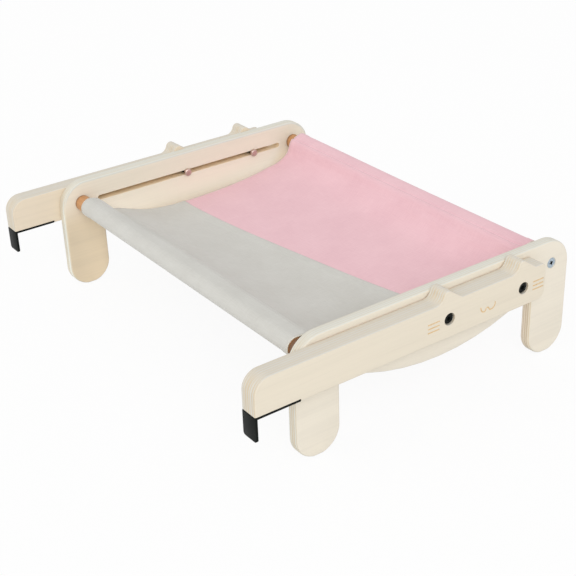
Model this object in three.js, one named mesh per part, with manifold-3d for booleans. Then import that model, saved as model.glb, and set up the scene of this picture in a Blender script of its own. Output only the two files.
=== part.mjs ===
// A cat window perch: a canvas sling between two plywood leg panels. On the outside of each panel
// an arm shaped as a cat's face slides on two bolts in a long slot, and carries a steel hook for
// the window sill. Millimetres, +X to the right, +Y from the hooks to the back, +Z up.
import * as THREE from 'three';
import { mergeVertices } from 'three/addons/utils/BufferGeometryUtils.js';
import Module from 'manifold-3d';

const wasm = await Module();
wasm.setup();

// Leg panels
const insideWidth = 430; // between the inner faces of the two panels
const panelLength = 344; // front edge of the front leg to the back edge of the rear leg
const panelHeight = 128;
const panelThickness = 12;
const panelCorner = 30; // radius of the two upper corners
const panelEdge = 2.2; // rounding of the sawn edges
const legWidth = 50;
const footFlat = 0.5; // sanded off the round foot, so that it stands
const legFillet = 8;
const bellyHeight = 49.5; // floor to the lowest point of the curved belly
const bellyRadius = 265;
const axisBelowTop = 25.5; // panel's top down to the line of the dowels, the slot and the bolts
const slotGap = 11; // wood left between a dowel's edge and the slot's end

// Arms, each placed by its bolts in the slot
const armThickness = 20;
const armHeight = 38.5; // without the ears
const armEdge = 1.4; // rounding of the sawn edges
const armBelowAxis = 20; // bolt axis down to the arm's lower edge
const noseLength = 220; // arm's front end to the first eye
const eyeSpacing = 96;
const tailLength = 30; // second eye to the arm's back end
const slotBehind = 40; // second eye to the slot's back end, as the arm now stands
const noseCorner = 17; // upper front corner
const tailTopCorner = 6.5;
const tailBottomCorner = 9;
const eyeRing = 0.8; // room round a bolt's head in its counterbore
const eyeDepth = 8;
const earReach = 17.5; // from the eye forward to the foot of the ear's steep flank
const earFlankRadius = 10;
const earFlankTurn = 75; // degrees that the flank curls up through
const earTipRadius = 5.67;
const earSlope = 36; // degrees, the ear's straight back

// Hook brackets
const plateThickness = 2.5;
const plateLength = 48;
const hookDrop = 23.5; // below the arm's lower edge
const hookCorner = 3;
const hookBend = 2; // outer radius of the bend
const hookScrewInset = 14; // from each end of the plate

// Dowels and sling
const dowelDiameter = 18;
const dowelInset = 24; // panel's end to the dowel's axis
const dowelBare = 17; // left bare by the canvas at each end
const clothThickness = 1.2;
const sagDepth = 39.5;
const seamGap = 0.3; // between the two canvas panels at their seam

// Clamp bolts and nuts
const boltDiameter = 5;
const boltHeadDiameter = 11;
const boltHeadHeight = 6.2;
const boltHeadChamfer = 0.6;
const hexWidth = 4.5; // across the corners
const hexDepth = 3;
const nutRim = 1.7; // how far a nut's rim reaches over the slot's edge
const nutRoof = 1.3; // closed end over the thread
const nutRound = 1.3;
const threadReach = 2.4; // how far a bolt's end stands in its nut

// Countersunk screws, and the threaded inserts in the dowels' ends
const dowelScrew = {
  diameter: 6, length: 31, head: 11, headHeight: 2.6, cross: 6, crossSlot: 1.3, crossDepth: 1.6,
};
const hookScrew = {
  diameter: 3.6, length: 15, head: 7, headHeight: 1.8, cross: 4, crossSlot: 0.9, crossDepth: 1,
};
const headSink = 0.4; // countersunk heads lie this far below the face
const screwTip = 1.2; // chamfer at the end of a screw or bolt
const insertWall = 1.4;
const insertLength = 14;
const insertInset = 1; // below the dowel's end
const pocketSpare = 7; // hole in the dowel's end beyond what stands in it

// Working clearances and fineness
const clearance = 0.3;
const overrun = 5; // how far a cutter passes the face it cuts
const weldDistance = 1e-4;
const edgeSteps = 2;
const outlineSteps = 6;
const dowelSides = 36;
const boltSides = 20;
const domeSteps = 4;
const sagSteps = 56;

// The canvas between the dowels: shares of their spacing, and shares of its deepest sag
const sagShares = [
  [0, 0], [0.036, 0.045], [0.062, 0.2], [0.1, 0.47], [0.18, 0.75], [0.3, 0.96], [0.42, 1],
  [0.6, 0.925], [0.78, 0.82], [0.855, 0.7], [0.91, 0.4], [0.946, 0.12], [0.972, 0.022], [1, 0],
];
const seamLeftShare = 0.42; // where the slanting seam meets the canvas's left edge
const seamRightShare = 0.61;

// Places worked out from the sizes
const panelInner = insideWidth / 2;
const panelOuter = panelInner + panelThickness;
const armInner = panelOuter + clearance;
const armMiddle = armInner + armThickness / 2;
const armOuter = armInner + armThickness;
const axisHeight = panelHeight - axisBelowTop;
const dowelPlaces = [dowelInset, panelLength - dowelInset];
const dowelSpacing = panelLength - 2 * dowelInset;
const slotInset = dowelInset + dowelDiameter / 2 + slotGap;
const slotWidth = boltDiameter + 2 * clearance;
const rearEye = panelLength - slotInset - slotBehind;
const eyePlaces = [rearEye - eyeSpacing, rearEye];
const armFront = eyePlaces[0] - noseLength;
const armBack = rearEye + tailLength;
const armBottom = axisHeight - armBelowAxis;
const armTop = armBottom + armHeight;
const eyeRadius = boltHeadDiameter / 2 + eyeRing;
const plateTop = armBottom + plateThickness;
const plateBack = armFront + plateLength;
const hookBottom = armBottom - hookDrop;
const hookScrewPlaces = [armFront + hookScrewInset, plateBack - hookScrewInset];
const boltSeat = armOuter - eyeDepth + clearance;
const nutSeat = panelInner - clearance;
const slingEdge = panelInner - dowelBare;
const sleeveInner = dowelDiameter / 2 + clearance;
const sleeveOuter = sleeveInner + clothThickness;
const dowelScrewSeat = panelOuter - headSink;
const insertMouth = panelInner - insertInset;

// Colours and finishes
const finish = (color, roughness, metalness = 0) =>
  new THREE.MeshStandardMaterial({ color, roughness, metalness });
const panelPly = finish(0xe4dac8, 0.6);
const armPly = finish(0xe8dfcd, 0.6);
const dowelWood = finish(0xc49a6c, 0.65);
const greyCanvas = finish(0xc4c2bb, 0.95);
const pinkCanvas = finish(0xe9bcc2, 0.95);
const blackSteel = finish(0x1d1e1f, 0.45, 0.6);
const zincSteel = finish(0xa9b2bd, 0.3, 1);
const nutSteel = finish(0xbfa0a2, 0.35, 1);
const brass = finish(0xb99a55, 0.4, 1);

// Outlines of boards are drawn from the side: their x runs to the back and their y runs up
const axisX = new THREE.Vector3(1, 0, 0);
const axisY = new THREE.Vector3(0, 1, 0);
const axisZ = new THREE.Vector3(0, 0, 1);
const fromSide = new THREE.Matrix4().makeBasis(axisY, axisZ, axisX);
const fromFront = new THREE.Matrix4().makeBasis(axisX, axisZ, axisY.clone().negate());
const quarter = Math.PI / 2;

// Turns a closed geometry into a solid that can be joined and cut
function solid(geometry) {
  const bare = geometry.clone();
  bare.deleteAttribute('normal');
  bare.deleteAttribute('uv');
  const welded = mergeVertices(bare, weldDistance);
  const corners = welded.index.array;
  const faces = [];
  for (let i = 0; i < corners.length; i += 3) {
    const [a, b, c] = corners.slice(i, i + 3);
    if (a !== b && b !== c && c !== a) faces.push(a, b, c);
  }
  return new wasm.Manifold(new wasm.Mesh({
    numProp: 3,
    vertProperties: new Float32Array(welded.attributes.position.array),
    triVerts: new Uint32Array(faces),
  }));
}

function namedMesh(name, shape, material) {
  const cut = shape.getMesh();
  const geometry = new THREE.BufferGeometry();
  geometry.setAttribute('position', new THREE.BufferAttribute(cut.vertProperties, cut.numProp));
  geometry.setIndex(new THREE.BufferAttribute(cut.triVerts, 1));
  geometry.computeVertexNormals();
  const mesh = new THREE.Mesh(geometry, material);
  mesh.name = name;
  return mesh;
}

// A sawn board of this outline, its edges rounded over, standing from its inner face outwards
function board(outline, inner, thickness, edge) {
  const geometry = new THREE.ExtrudeGeometry(outline, {
    depth: thickness - 2 * edge,
    bevelThickness: edge,
    bevelSize: edge,
    bevelOffset: -edge,
    bevelSegments: edgeSteps,
    curveSegments: outlineSteps,
  });
  geometry.applyMatrix4(fromSide);
  geometry.translate(inner + edge, 0, 0);
  return solid(geometry);
}

function slab(outline, depth, placing) {
  const geometry = new THREE.ExtrudeGeometry(outline, {
    depth, bevelEnabled: false, curveSegments: outlineSteps,
  });
  return geometry.applyMatrix4(placing);
}

// A round bar along X between two places, for dowels, holes and sleeves
function bar(radius, from, to, y, sides) {
  const geometry = new THREE.CylinderGeometry(radius, radius, to - from, sides);
  geometry.rotateZ(quarter);
  geometry.translate((from + to) / 2, y, axisHeight);
  return solid(geometry);
}

// A turned piece: profile points are [radius, height], and its height runs along +Y
function turned(profile, sides = boltSides) {
  return solid(new THREE.LatheGeometry(profile.map(([r, h]) => new THREE.Vector2(r, h)), sides));
}

// Stands a turned piece's height along X, outwards from a place on the axis line
function alongX(shape, x, y) {
  return shape.rotate([0, 0, -90]).translate([x, y, axisHeight]);
}

function downZ(shape, y, z) {
  return shape.rotate([-90, 0, 0]).translate([armMiddle, y, z]);
}

// Leg panel: two round-footed legs under a beam with a curved belly and a long slot
function legPanelOutline() {
  const foot = legWidth / 2;
  const footCentre = foot - footFlat;
  const flat = Math.sqrt(foot ** 2 - footCentre ** 2);
  const flatAngle = Math.asin(flat / foot);
  const middle = panelLength / 2;
  const rear = panelLength - foot;
  const bellyCentre = bellyHeight + bellyRadius;
  const corner = legWidth + legFillet;
  const across = middle - corner;
  const filletHeight = bellyCentre - Math.sqrt((bellyRadius + legFillet) ** 2 - across ** 2);
  const turn = Math.atan2(bellyCentre - filletHeight, across);
  const shoulder = panelHeight - panelCorner;
  const toe = flatAngle - quarter;
  const heel = 3 * quarter - flatAngle;

  const outline = new THREE.Shape();
  outline.moveTo(foot - flat, 0);
  outline.lineTo(foot + flat, 0);
  outline.absarc(foot, footCentre, foot, toe, 0, false);
  outline.absarc(corner, filletHeight, legFillet, Math.PI, turn, true);
  outline.absarc(middle, bellyCentre, bellyRadius, Math.PI + turn, 2 * Math.PI - turn, false);
  outline.absarc(panelLength - corner, filletHeight, legFillet, Math.PI - turn, 0, true);
  outline.absarc(rear, footCentre, foot, Math.PI, heel, false);
  outline.absarc(rear, footCentre, foot, toe, 0, false);
  outline.absarc(panelLength - panelCorner, shoulder, panelCorner, 0, quarter, false);
  outline.absarc(panelCorner, shoulder, panelCorner, quarter, Math.PI, false);
  outline.absarc(foot, footCentre, foot, Math.PI, heel, false);
  return outline;
}

function slotCutter() {
  const radius = slotWidth / 2;
  const front = slotInset + radius;
  const outline = new THREE.Shape();
  outline.absarc(front, axisHeight, radius, quarter, 3 * quarter, false);
  outline.absarc(panelLength - front, axisHeight, radius, -quarter, quarter, false);
  const geometry = slab(outline, panelThickness + 2 * overrun, fromSide);
  return solid(geometry.translate(panelInner - overrun, 0, 0));
}

// The room that a countersunk screw needs: its head opens at height zero
function countersink(screw) {
  const hole = screw.diameter / 2 + clearance;
  const mouth = screw.head / 2 + clearance;
  const end = -screw.length - headSink - overrun;
  return turned([
    [0, end], [hole, end], [hole, -headSink - screw.headHeight], [mouth, -headSink],
    [mouth, overrun], [0, overrun],
  ]);
}

function countersunkScrew(screw) {
  const radius = screw.diameter / 2;
  const body = turned([
    [0, -screw.length], [radius - screwTip, -screw.length], [radius, screwTip - screw.length],
    [radius, -screw.headHeight], [screw.head / 2, 0], [0, 0],
  ]);
  const wing = new THREE.BoxGeometry(screw.cross, 2 * screw.crossDepth, screw.crossSlot);
  return body.subtract(solid(wing)).subtract(solid(wing.clone().rotateY(quarter)));
}

function makeLegPanel() {
  let panel = board(legPanelOutline(), panelInner, panelThickness, panelEdge);
  panel = panel.subtract(slotCutter());
  for (const y of dowelPlaces) {
    panel = panel.subtract(alongX(countersink(dowelScrew), panelOuter, y));
  }
  return panel;
}

// Arm: a cat's face in outline, with two ears, and the clamp bolts' heads as its eyes
function addEar(outline, eye) {
  const flankTurn = THREE.MathUtils.degToRad(earFlankTurn);
  const slope = THREE.MathUtils.degToRad(earSlope);
  const foot = eye - earReach;
  const tipPlace = foot + (earFlankRadius + earTipRadius) * Math.sin(flankTurn);
  const tipCentre = armTop + earFlankRadius - (earFlankRadius + earTipRadius) * Math.cos(flankTurn);
  const backHead = tipPlace + earTipRadius * Math.sin(slope);
  const backRise = tipCentre + earTipRadius * Math.cos(slope) - armTop;
  outline.lineTo(backHead + backRise / Math.tan(slope), armTop);
  outline.absarc(tipPlace, tipCentre, earTipRadius, quarter - slope, quarter + flankTurn, false);
  outline.absarc(foot, armTop + earFlankRadius, earFlankRadius, flankTurn - quarter, -quarter, true);
}

function armOutline() {
  const heel = armBack - tailBottomCorner;
  const crown = armBack - tailTopCorner;
  const outline = new THREE.Shape();
  outline.moveTo(armFront, armBottom);
  outline.lineTo(heel, armBottom);
  outline.absarc(heel, armBottom + tailBottomCorner, tailBottomCorner, -quarter, 0, false);
  outline.absarc(crown, armTop - tailTopCorner, tailTopCorner, 0, quarter, false);
  addEar(outline, eyePlaces[1]);
  addEar(outline, eyePlaces[0]);
  outline.absarc(armFront + noseCorner, armTop - noseCorner, noseCorner, quarter, Math.PI, false);
  return outline;
}

function rebateCutter() {
  const outline = new THREE.Shape([
    new THREE.Vector2(armFront - overrun, armBottom - overrun),
    new THREE.Vector2(plateBack + clearance, armBottom - overrun),
    new THREE.Vector2(plateBack + clearance, plateTop),
    new THREE.Vector2(armFront - overrun, plateTop),
  ]);
  const geometry = slab(outline, armThickness + 2 * overrun, fromSide);
  return solid(geometry.translate(armInner - overrun, 0, 0));
}

function makeArm() {
  let arm = board(armOutline(), armInner, armThickness, armEdge).subtract(rebateCutter());
  for (const y of eyePlaces) {
    arm = arm.subtract(bar(slotWidth / 2, armInner - overrun, armOuter, y, boltSides));
    arm = arm.subtract(bar(eyeRadius, armOuter - eyeDepth, armOuter + overrun, y, dowelSides));
  }
  for (const y of hookScrewPlaces) {
    arm = arm.subtract(downZ(countersink(hookScrew), y, armBottom));
  }
  return arm;
}

// Hook: a steel strip let into the arm's lower edge and bent down at the front
function makeHook() {
  const side = new THREE.Shape();
  side.moveTo(armFront, hookBottom);
  side.lineTo(armFront + plateThickness, hookBottom);
  side.lineTo(armFront + plateThickness, armBottom);
  side.lineTo(plateBack, armBottom);
  side.lineTo(plateBack, plateTop);
  side.absarc(armFront + hookBend, plateTop - hookBend, hookBend, quarter, Math.PI, false);
  const strip = slab(side, armThickness, fromSide).translate(armInner, 0, 0);

  const cornerHeight = hookBottom + hookCorner;
  const face = new THREE.Shape();
  face.absarc(armInner + hookCorner, cornerHeight, hookCorner, Math.PI, 3 * quarter, false);
  face.absarc(armOuter - hookCorner, cornerHeight, hookCorner, -quarter, 0, false);
  face.lineTo(armOuter, plateTop + overrun);
  face.lineTo(armInner, plateTop + overrun);
  const room = slab(face, plateLength + 2 * overrun, fromFront);

  let hook = solid(strip).intersect(solid(room.translate(0, plateBack + overrun, 0)));
  for (const y of hookScrewPlaces) {
    hook = hook.subtract(downZ(countersink(hookScrew), y, armBottom));
  }
  return hook;
}

// Clamp bolt: a hex-socket bolt whose height runs outwards, with zero under its head
function makeClampBolt() {
  const radius = boltDiameter / 2;
  const head = boltHeadDiameter / 2;
  const end = nutSeat - threadReach - boltSeat;
  const body = turned([
    [0, end], [radius - screwTip, end], [radius, end + screwTip], [radius, 0], [head, 0],
    [head, boltHeadHeight - boltHeadChamfer], [head - boltHeadChamfer, boltHeadHeight],
    [0, boltHeadHeight],
  ]);
  const socket = new THREE.CylinderGeometry(hexWidth / 2, hexWidth / 2, 2 * hexDepth, 6);
  return body.subtract(solid(socket.translate(0, boltHeadHeight, 0)));
}

// Clamp nut: a low round cap with a blind thread, whose height runs inwards from the slot
function makeClampNut() {
  const bore = boltDiameter / 2 + clearance;
  const radius = slotWidth / 2 + nutRim;
  const threadDepth = threadReach + clearance;
  const height = threadDepth + nutRoof;
  const dome = [];
  for (let i = 0; i <= domeSteps; i += 1) {
    const turn = i * quarter / domeSteps;
    dome.push([
      radius - nutRound + nutRound * Math.cos(turn), height - nutRound + nutRound * Math.sin(turn),
    ]);
  }
  return turned([[0, threadDepth], [bore, threadDepth], [bore, 0], [radius, 0], ...dome, [0, height]]);
}

// Dowel: bored at each end for a threaded insert and the screw's tip
function makeDowel(y) {
  const screwEnd = dowelScrewSeat - dowelScrew.length;
  const floor = Math.min(screwEnd, insertMouth - insertLength) - pocketSpare;
  const pocket = dowelScrew.diameter / 2 + 2 * clearance + insertWall;
  return bar(dowelDiameter / 2, -panelInner, panelInner, y, dowelSides)
    .subtract(bar(pocket, floor, panelInner + overrun, y, boltSides))
    .subtract(bar(pocket, -panelInner - overrun, -floor, y, boltSides));
}

function makeInsert() {
  const bore = dowelScrew.diameter / 2 + clearance;
  const radius = bore + insertWall;
  return turned([[bore, 0], [bore, -insertLength], [radius, -insertLength], [radius, 0], [bore, 0]]);
}

// Canvas: a sleeve round each dowel and a sagging sheet between them, cut in two at the seam
function makeSheet() {
  const top = axisHeight + (sleeveInner + sleeveOuter) / 2;
  const curve = new THREE.SplineCurve(sagShares.map(([along, down]) => new THREE.Vector2(
    dowelInset + along * dowelSpacing, top - down * sagDepth)));
  const upper = [];
  const lower = [];
  for (let i = 0; i <= sagSteps; i += 1) {
    const point = curve.getPointAt(i / sagSteps);
    const along = curve.getTangentAt(i / sagSteps);
    const half = new THREE.Vector2(-along.y, along.x).multiplyScalar(clothThickness / 2);
    upper.unshift(point.clone().add(half));
    lower.push(point.clone().sub(half));
  }
  const strip = slab(new THREE.Shape([...lower, ...upper]), 2 * slingEdge, fromSide);
  return solid(strip.translate(-slingEdge, 0, 0));
}

function makeSleeve(y) {
  const hole = bar(sleeveInner, -slingEdge - overrun, slingEdge + overrun, y, dowelSides);
  return bar(sleeveOuter, -slingEdge, slingEdge, y, dowelSides).subtract(hole);
}

// All that lies ahead of the seam, or behind it, seen from above
function seamSide(ahead) {
  const left = dowelInset + seamLeftShare * dowelSpacing;
  const right = dowelInset + seamRightShare * dowelSpacing;
  const spread = (right - left) * overrun / (2 * slingEdge);
  const shift = ahead ? -seamGap / 2 : seamGap / 2;
  const limit = ahead ? -panelLength : 2 * panelLength;
  const half = slingEdge + overrun;
  const outline = new THREE.Shape([
    new THREE.Vector2(-half, left - spread + shift),
    new THREE.Vector2(half, right + spread + shift),
    new THREE.Vector2(half, limit),
    new THREE.Vector2(-half, limit),
  ]);
  return solid(new THREE.ExtrudeGeometry(outline, { depth: panelHeight, bevelEnabled: false }));
}

// One side's pieces, for the right-hand side; the left side is its mirror image
function makeSide(side) {
  const group = new THREE.Group();
  group.add(namedMesh(`${side}_leg_panel`, makeLegPanel(), panelPly));
  group.add(namedMesh(`${side}_arm`, makeArm(), armPly));
  group.add(namedMesh(`${side}_hook_bracket`, makeHook(), blackSteel));

  ['front', 'rear'].forEach((end, i) => {
    const bolt = namedMesh(`${side}_${end}_clamp_bolt`, makeClampBolt(), blackSteel);
    bolt.position.set(boltSeat, eyePlaces[i], axisHeight);
    bolt.rotation.z = -quarter;
    const nut = namedMesh(`${side}_${end}_clamp_nut`, makeClampNut(), nutSteel);
    nut.position.set(nutSeat, eyePlaces[i], axisHeight);
    nut.rotation.z = quarter;

    const fixing = namedMesh(`${side}_${end}_dowel_screw`, countersunkScrew(dowelScrew), zincSteel);
    fixing.position.set(dowelScrewSeat, dowelPlaces[i], axisHeight);
    fixing.rotation.z = -quarter;
    const insert = namedMesh(`${side}_${end}_dowel_insert`, makeInsert(), brass);
    insert.position.set(insertMouth, dowelPlaces[i], axisHeight);
    insert.rotation.z = -quarter;

    const hookFixing = namedMesh(`${side}_${end}_hook_screw`, countersunkScrew(hookScrew), blackSteel);
    hookFixing.position.set(armMiddle, hookScrewPlaces[i], armBottom + headSink);
    hookFixing.rotation.x = -quarter;
    group.add(bolt, nut, fixing, insert, hookFixing);
  });
  return group;
}

const perch = new THREE.Group();
const leftSide = makeSide('left');
leftSide.scale.x = -1;
perch.add(makeSide('right'), leftSide);
perch.add(namedMesh('front_dowel', makeDowel(dowelPlaces[0]), dowelWood));
perch.add(namedMesh('rear_dowel', makeDowel(dowelPlaces[1]), dowelWood));

const sling = makeSleeve(dowelPlaces[0]).add(makeSheet()).add(makeSleeve(dowelPlaces[1]));
perch.add(namedMesh('grey_canvas', sling.intersect(seamSide(true)), greyCanvas));
perch.add(namedMesh('pink_canvas', sling.intersect(seamSide(false)), pinkCanvas));

// The origin lies on the floor, in the middle between the arms' front ends and the panels' backs
perch.position.y = -(armFront + panelLength) / 2;

export default perch;
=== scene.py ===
import bisect
import math

import bpy
from mathutils import Matrix, Vector


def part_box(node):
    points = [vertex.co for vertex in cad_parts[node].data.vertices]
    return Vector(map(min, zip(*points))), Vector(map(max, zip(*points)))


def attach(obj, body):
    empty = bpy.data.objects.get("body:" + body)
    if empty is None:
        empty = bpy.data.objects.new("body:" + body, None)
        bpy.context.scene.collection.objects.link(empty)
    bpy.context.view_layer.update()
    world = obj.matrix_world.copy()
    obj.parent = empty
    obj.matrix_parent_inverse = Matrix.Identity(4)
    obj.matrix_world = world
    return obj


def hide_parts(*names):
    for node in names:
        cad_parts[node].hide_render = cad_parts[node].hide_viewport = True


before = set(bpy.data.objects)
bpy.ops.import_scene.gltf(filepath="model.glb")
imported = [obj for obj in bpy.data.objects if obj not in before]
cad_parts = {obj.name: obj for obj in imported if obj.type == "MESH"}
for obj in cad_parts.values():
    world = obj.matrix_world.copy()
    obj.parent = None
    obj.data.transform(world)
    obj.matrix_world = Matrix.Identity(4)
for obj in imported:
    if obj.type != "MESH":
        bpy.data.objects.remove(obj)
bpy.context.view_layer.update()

# The view. The camera stands where the photograph was taken from, right of the perch and ahead of it, and
# looks down at it by 28 degrees.
camera_place = Vector((0.9686, -0.66538, 0.66523))
camera_azimuth = math.radians(55.059)
camera_elevation = math.radians(28.033)
camera_roll = math.radians(-2.085)
camera_lens = 76.454
camera_near = 0.05

back = Vector((math.sin(camera_azimuth) * math.cos(camera_elevation),
               -math.cos(camera_azimuth) * math.cos(camera_elevation), math.sin(camera_elevation)))
level_right = Vector((math.cos(camera_azimuth), math.sin(camera_azimuth), 0))
level_up = back.cross(level_right)
right = level_right * math.cos(camera_roll) + level_up * math.sin(camera_roll)
up = level_up * math.cos(camera_roll) - level_right * math.sin(camera_roll)
bpy.ops.object.camera_add()
camera = bpy.context.object
camera.name = "camera"
camera.data.lens = camera_lens
camera.data.clip_start = camera_near
camera.matrix_world = Matrix.Translation(camera_place) @ Matrix((right, up, back)).transposed().to_4x4()
bpy.context.scene.camera = camera
bpy.context.scene.view_settings.view_transform = "Standard"


# The floor and the light. A pale floor runs out of sight under a white sky and keeps a faint shadow. One
# large soft lamp stands to the right and a weaker one in front, so that the outer faces are the brightest.
floor_size = 30
floor_drop = 0.0003
floor_colour = (0.9, 0.9, 0.9, 1)
pure_white = (1, 1, 1, 1)
floor_white_share = 0.92
sky_strength = 0.70


def shown(nodes, links):
    """A socket that is 1 where the camera sees the background itself, in metal or through glass."""
    path = nodes.new("ShaderNodeLightPath")
    found = path.outputs["Is Camera Ray"]
    for kind in ("Is Glossy Ray", "Is Transmission Ray"):
        either = nodes.new("ShaderNodeMath")
        either.operation = "MAXIMUM"
        links.new(found, either.inputs[0])
        links.new(path.outputs[kind], either.inputs[1])
        found = either.outputs[0]
    return found


bpy.ops.mesh.primitive_plane_add(size=floor_size, location=(0, 0, -floor_drop))
floor = bpy.context.object
floor.name = "floor"
floor_finish = bpy.data.materials.new("floor")
floor_finish.use_nodes = True
nodes, links = floor_finish.node_tree.nodes, floor_finish.node_tree.links
nodes.remove(nodes["Principled BSDF"])
matt = nodes.new("ShaderNodeBsdfDiffuse")
matt.inputs["Color"].default_value = floor_colour
white = nodes.new("ShaderNodeEmission")
share = nodes.new("ShaderNodeMath")
share.operation = "MULTIPLY"
share.inputs[1].default_value = floor_white_share
mix = nodes.new("ShaderNodeMixShader")
links.new(shown(nodes, links), share.inputs[0])
links.new(share.outputs[0], mix.inputs[0])
links.new(matt.outputs[0], mix.inputs[1])
links.new(white.outputs[0], mix.inputs[2])
links.new(mix.outputs[0], nodes["Material Output"].inputs["Surface"])
floor.data.materials.append(floor_finish)

world = bpy.data.worlds.new("sky")
bpy.context.scene.world = world
world.use_nodes = True
nodes, links = world.node_tree.nodes, world.node_tree.links
sky = nodes["Background"]
sky.inputs["Strength"].default_value = sky_strength
seen = nodes.new("ShaderNodeBackground")
mix = nodes.new("ShaderNodeMixShader")
links.new(shown(nodes, links), mix.inputs[0])
links.new(sky.outputs[0], mix.inputs[1])
links.new(seen.outputs[0], mix.inputs[2])
links.new(mix.outputs[0], nodes["World Output"].inputs["Surface"])
sky.inputs["Color"].default_value = pure_white
seen.inputs["Color"].default_value = pure_white

lamps = {
    "key_lamp": {"place": (8.8, -4.6, 7.0), "size": 6.5, "power": 530},
    "front_lamp": {"place": (-3.6, -9.6, 5.6), "size": 8.0, "power": 205},
}
for name, lamp in lamps.items():
    bpy.ops.object.light_add(type="AREA", location=lamp["place"])
    light = bpy.context.object
    light.name = name
    light.data.size = lamp["size"]
    light.data.energy = lamp["power"]
    light.rotation_euler = (-Vector(lamp["place"])).to_track_quat("-Z", "Y").to_euler()


# The finish of plywood. Birch veneers, glued with their grain crossed, pale and matt under clear varnish. The
# faces show long faint streaks, and the sawn edges show the veneers as lines, browner where their grain ends.
def linear(red, green, blue):
    """A colour as the photograph's eight-bit values, made linear."""
    return tuple((c / 12.92 if c < 0.04045 else ((c + 0.055) / 1.055) ** 2.4)
                 for c in (red / 255, green / 255, blue / 255)) + (1,)


class Wire:
    """A socket in a material. Sums on it add Math nodes, and make() adds any other node."""

    def __init__(self, tree, socket):
        self.tree = tree
        self.socket = socket

    def make(self, kind, settings, inputs, outlet=0):
        """Adds a node of any kind: first its settings, then the values or wires of its sockets."""
        node = self.tree.nodes.new(kind)
        for name, value in settings.items():
            setattr(node, name, value)
        for name, value in inputs.items():
            if isinstance(value, Wire):
                self.tree.links.new(value.socket, node.inputs[name])
            else:
                node.inputs[name].default_value = value
        return Wire(self.tree, node.outputs[outlet])

    def maths(self, operation, *values):
        return self.make("ShaderNodeMath", {"operation": operation}, dict(enumerate(values)))

    def __add__(self, other):
        return self.maths("ADD", self, other)

    def __sub__(self, other):
        return self.maths("SUBTRACT", self, other)

    def __rsub__(self, other):
        return self.maths("SUBTRACT", other, self)

    def __mul__(self, other):
        return self.maths("MULTIPLY", self, other)

    def __mod__(self, other):
        return self.maths("FLOORED_MODULO", self, other)

    def __abs__(self):
        return self.maths("ABSOLUTE", self)

    def floor(self):
        return self.maths("FLOOR", self)

    def ramp(self, low, high):
        """0 below low, 1 above high, and a soft step between them."""
        return self.make("ShaderNodeMapRange", {"interpolation_type": "SMOOTHSTEP"},
                         {"Value": self, "From Min": low, "From Max": high})

    def parts(self):
        return [self.make("ShaderNodeSeparateXYZ", {}, {"Vector": self}, i) for i in range(3)]

    def stretched(self, scale):
        return self.make("ShaderNodeMapping", {}, {"Vector": self, "Scale": scale})

    def noise(self, scale, detail=2.0, roughness=0.5):
        return self.make("ShaderNodeTexNoise", {}, {"Vector": self, "Scale": scale, "Detail": detail,
                                                    "Roughness": roughness})

    def blended(self, first, second):
        """first where this is 0 and second where it is 1. A Mix node's colours are its sockets 6 and 7."""
        return self.make("ShaderNodeMix", {"data_type": "RGBA"}, {0: self, 6: first, 7: second}, 2)

    def scaled(self, factor):
        """A colour made lighter or darker by a factor."""
        return self.make("ShaderNodeVectorMath", {"operation": "SCALE"}, {0: self, "Scale": factor})

    def bump(self, strength, distance):
        return self.make("ShaderNodeBump", {}, {"Height": self, "Strength": strength, "Distance": distance})


def material(name, roughness, metallic=0.0):
    """A new material, its shader, and the place on the piece that its patterns read."""
    finish = bpy.data.materials.new(name)
    finish.use_nodes = True
    shader = finish.node_tree.nodes["Principled BSDF"]
    shader.inputs["Roughness"].default_value = roughness
    shader.inputs["Metallic"].default_value = metallic
    where = finish.node_tree.nodes.new("ShaderNodeTexCoord")
    return finish, shader, Wire(finish.node_tree, where.outputs["Object"])


def feed(finish, shader, **values):
    """Links wires to the shader's sockets of the same names."""
    for name, wire in values.items():
        finish.node_tree.links.new(wire.socket, shader.inputs[name.replace("_", " ")])


panel_outside = linear(236, 228, 212)
# The inner faces are painted lighter than the outer ones, and the legs' inner faces take a warm painted
# shade.
panel_inside_lit = linear(254, 244, 225)
panel_sawn = linear(222, 222, 213)
leg_inside_shade = linear(236, 218, 188)
# Painted light on the left front leg's front edge, and warm painted bounce light inside the rear legs.
leg_front_sawn_lit = linear(248, 251, 242)
leg_back_sawn_bounce_light = linear(246, 237, 217)
arm_outside = linear(230, 220, 201)
# Painted warm bounce light on the arms' inner faces.
arm_inside_bounce_light = linear(232, 217, 194)
arm_sawn = linear(216, 212, 202)
ply_end_grain = linear(214, 195, 162)
ply_glue = linear(182, 152, 114)
# Painted warm bounce light on the slots' walls.
slot_bounce_light = linear(242, 223, 192)
# Painted shade in the gap between an arm and its panel.
gap_shade_brown = linear(184, 144, 102)
ply_roughness = 0.58
ply_relief = 0.0003
veneer_waver = 0.2
face_contrast = 0.1


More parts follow.
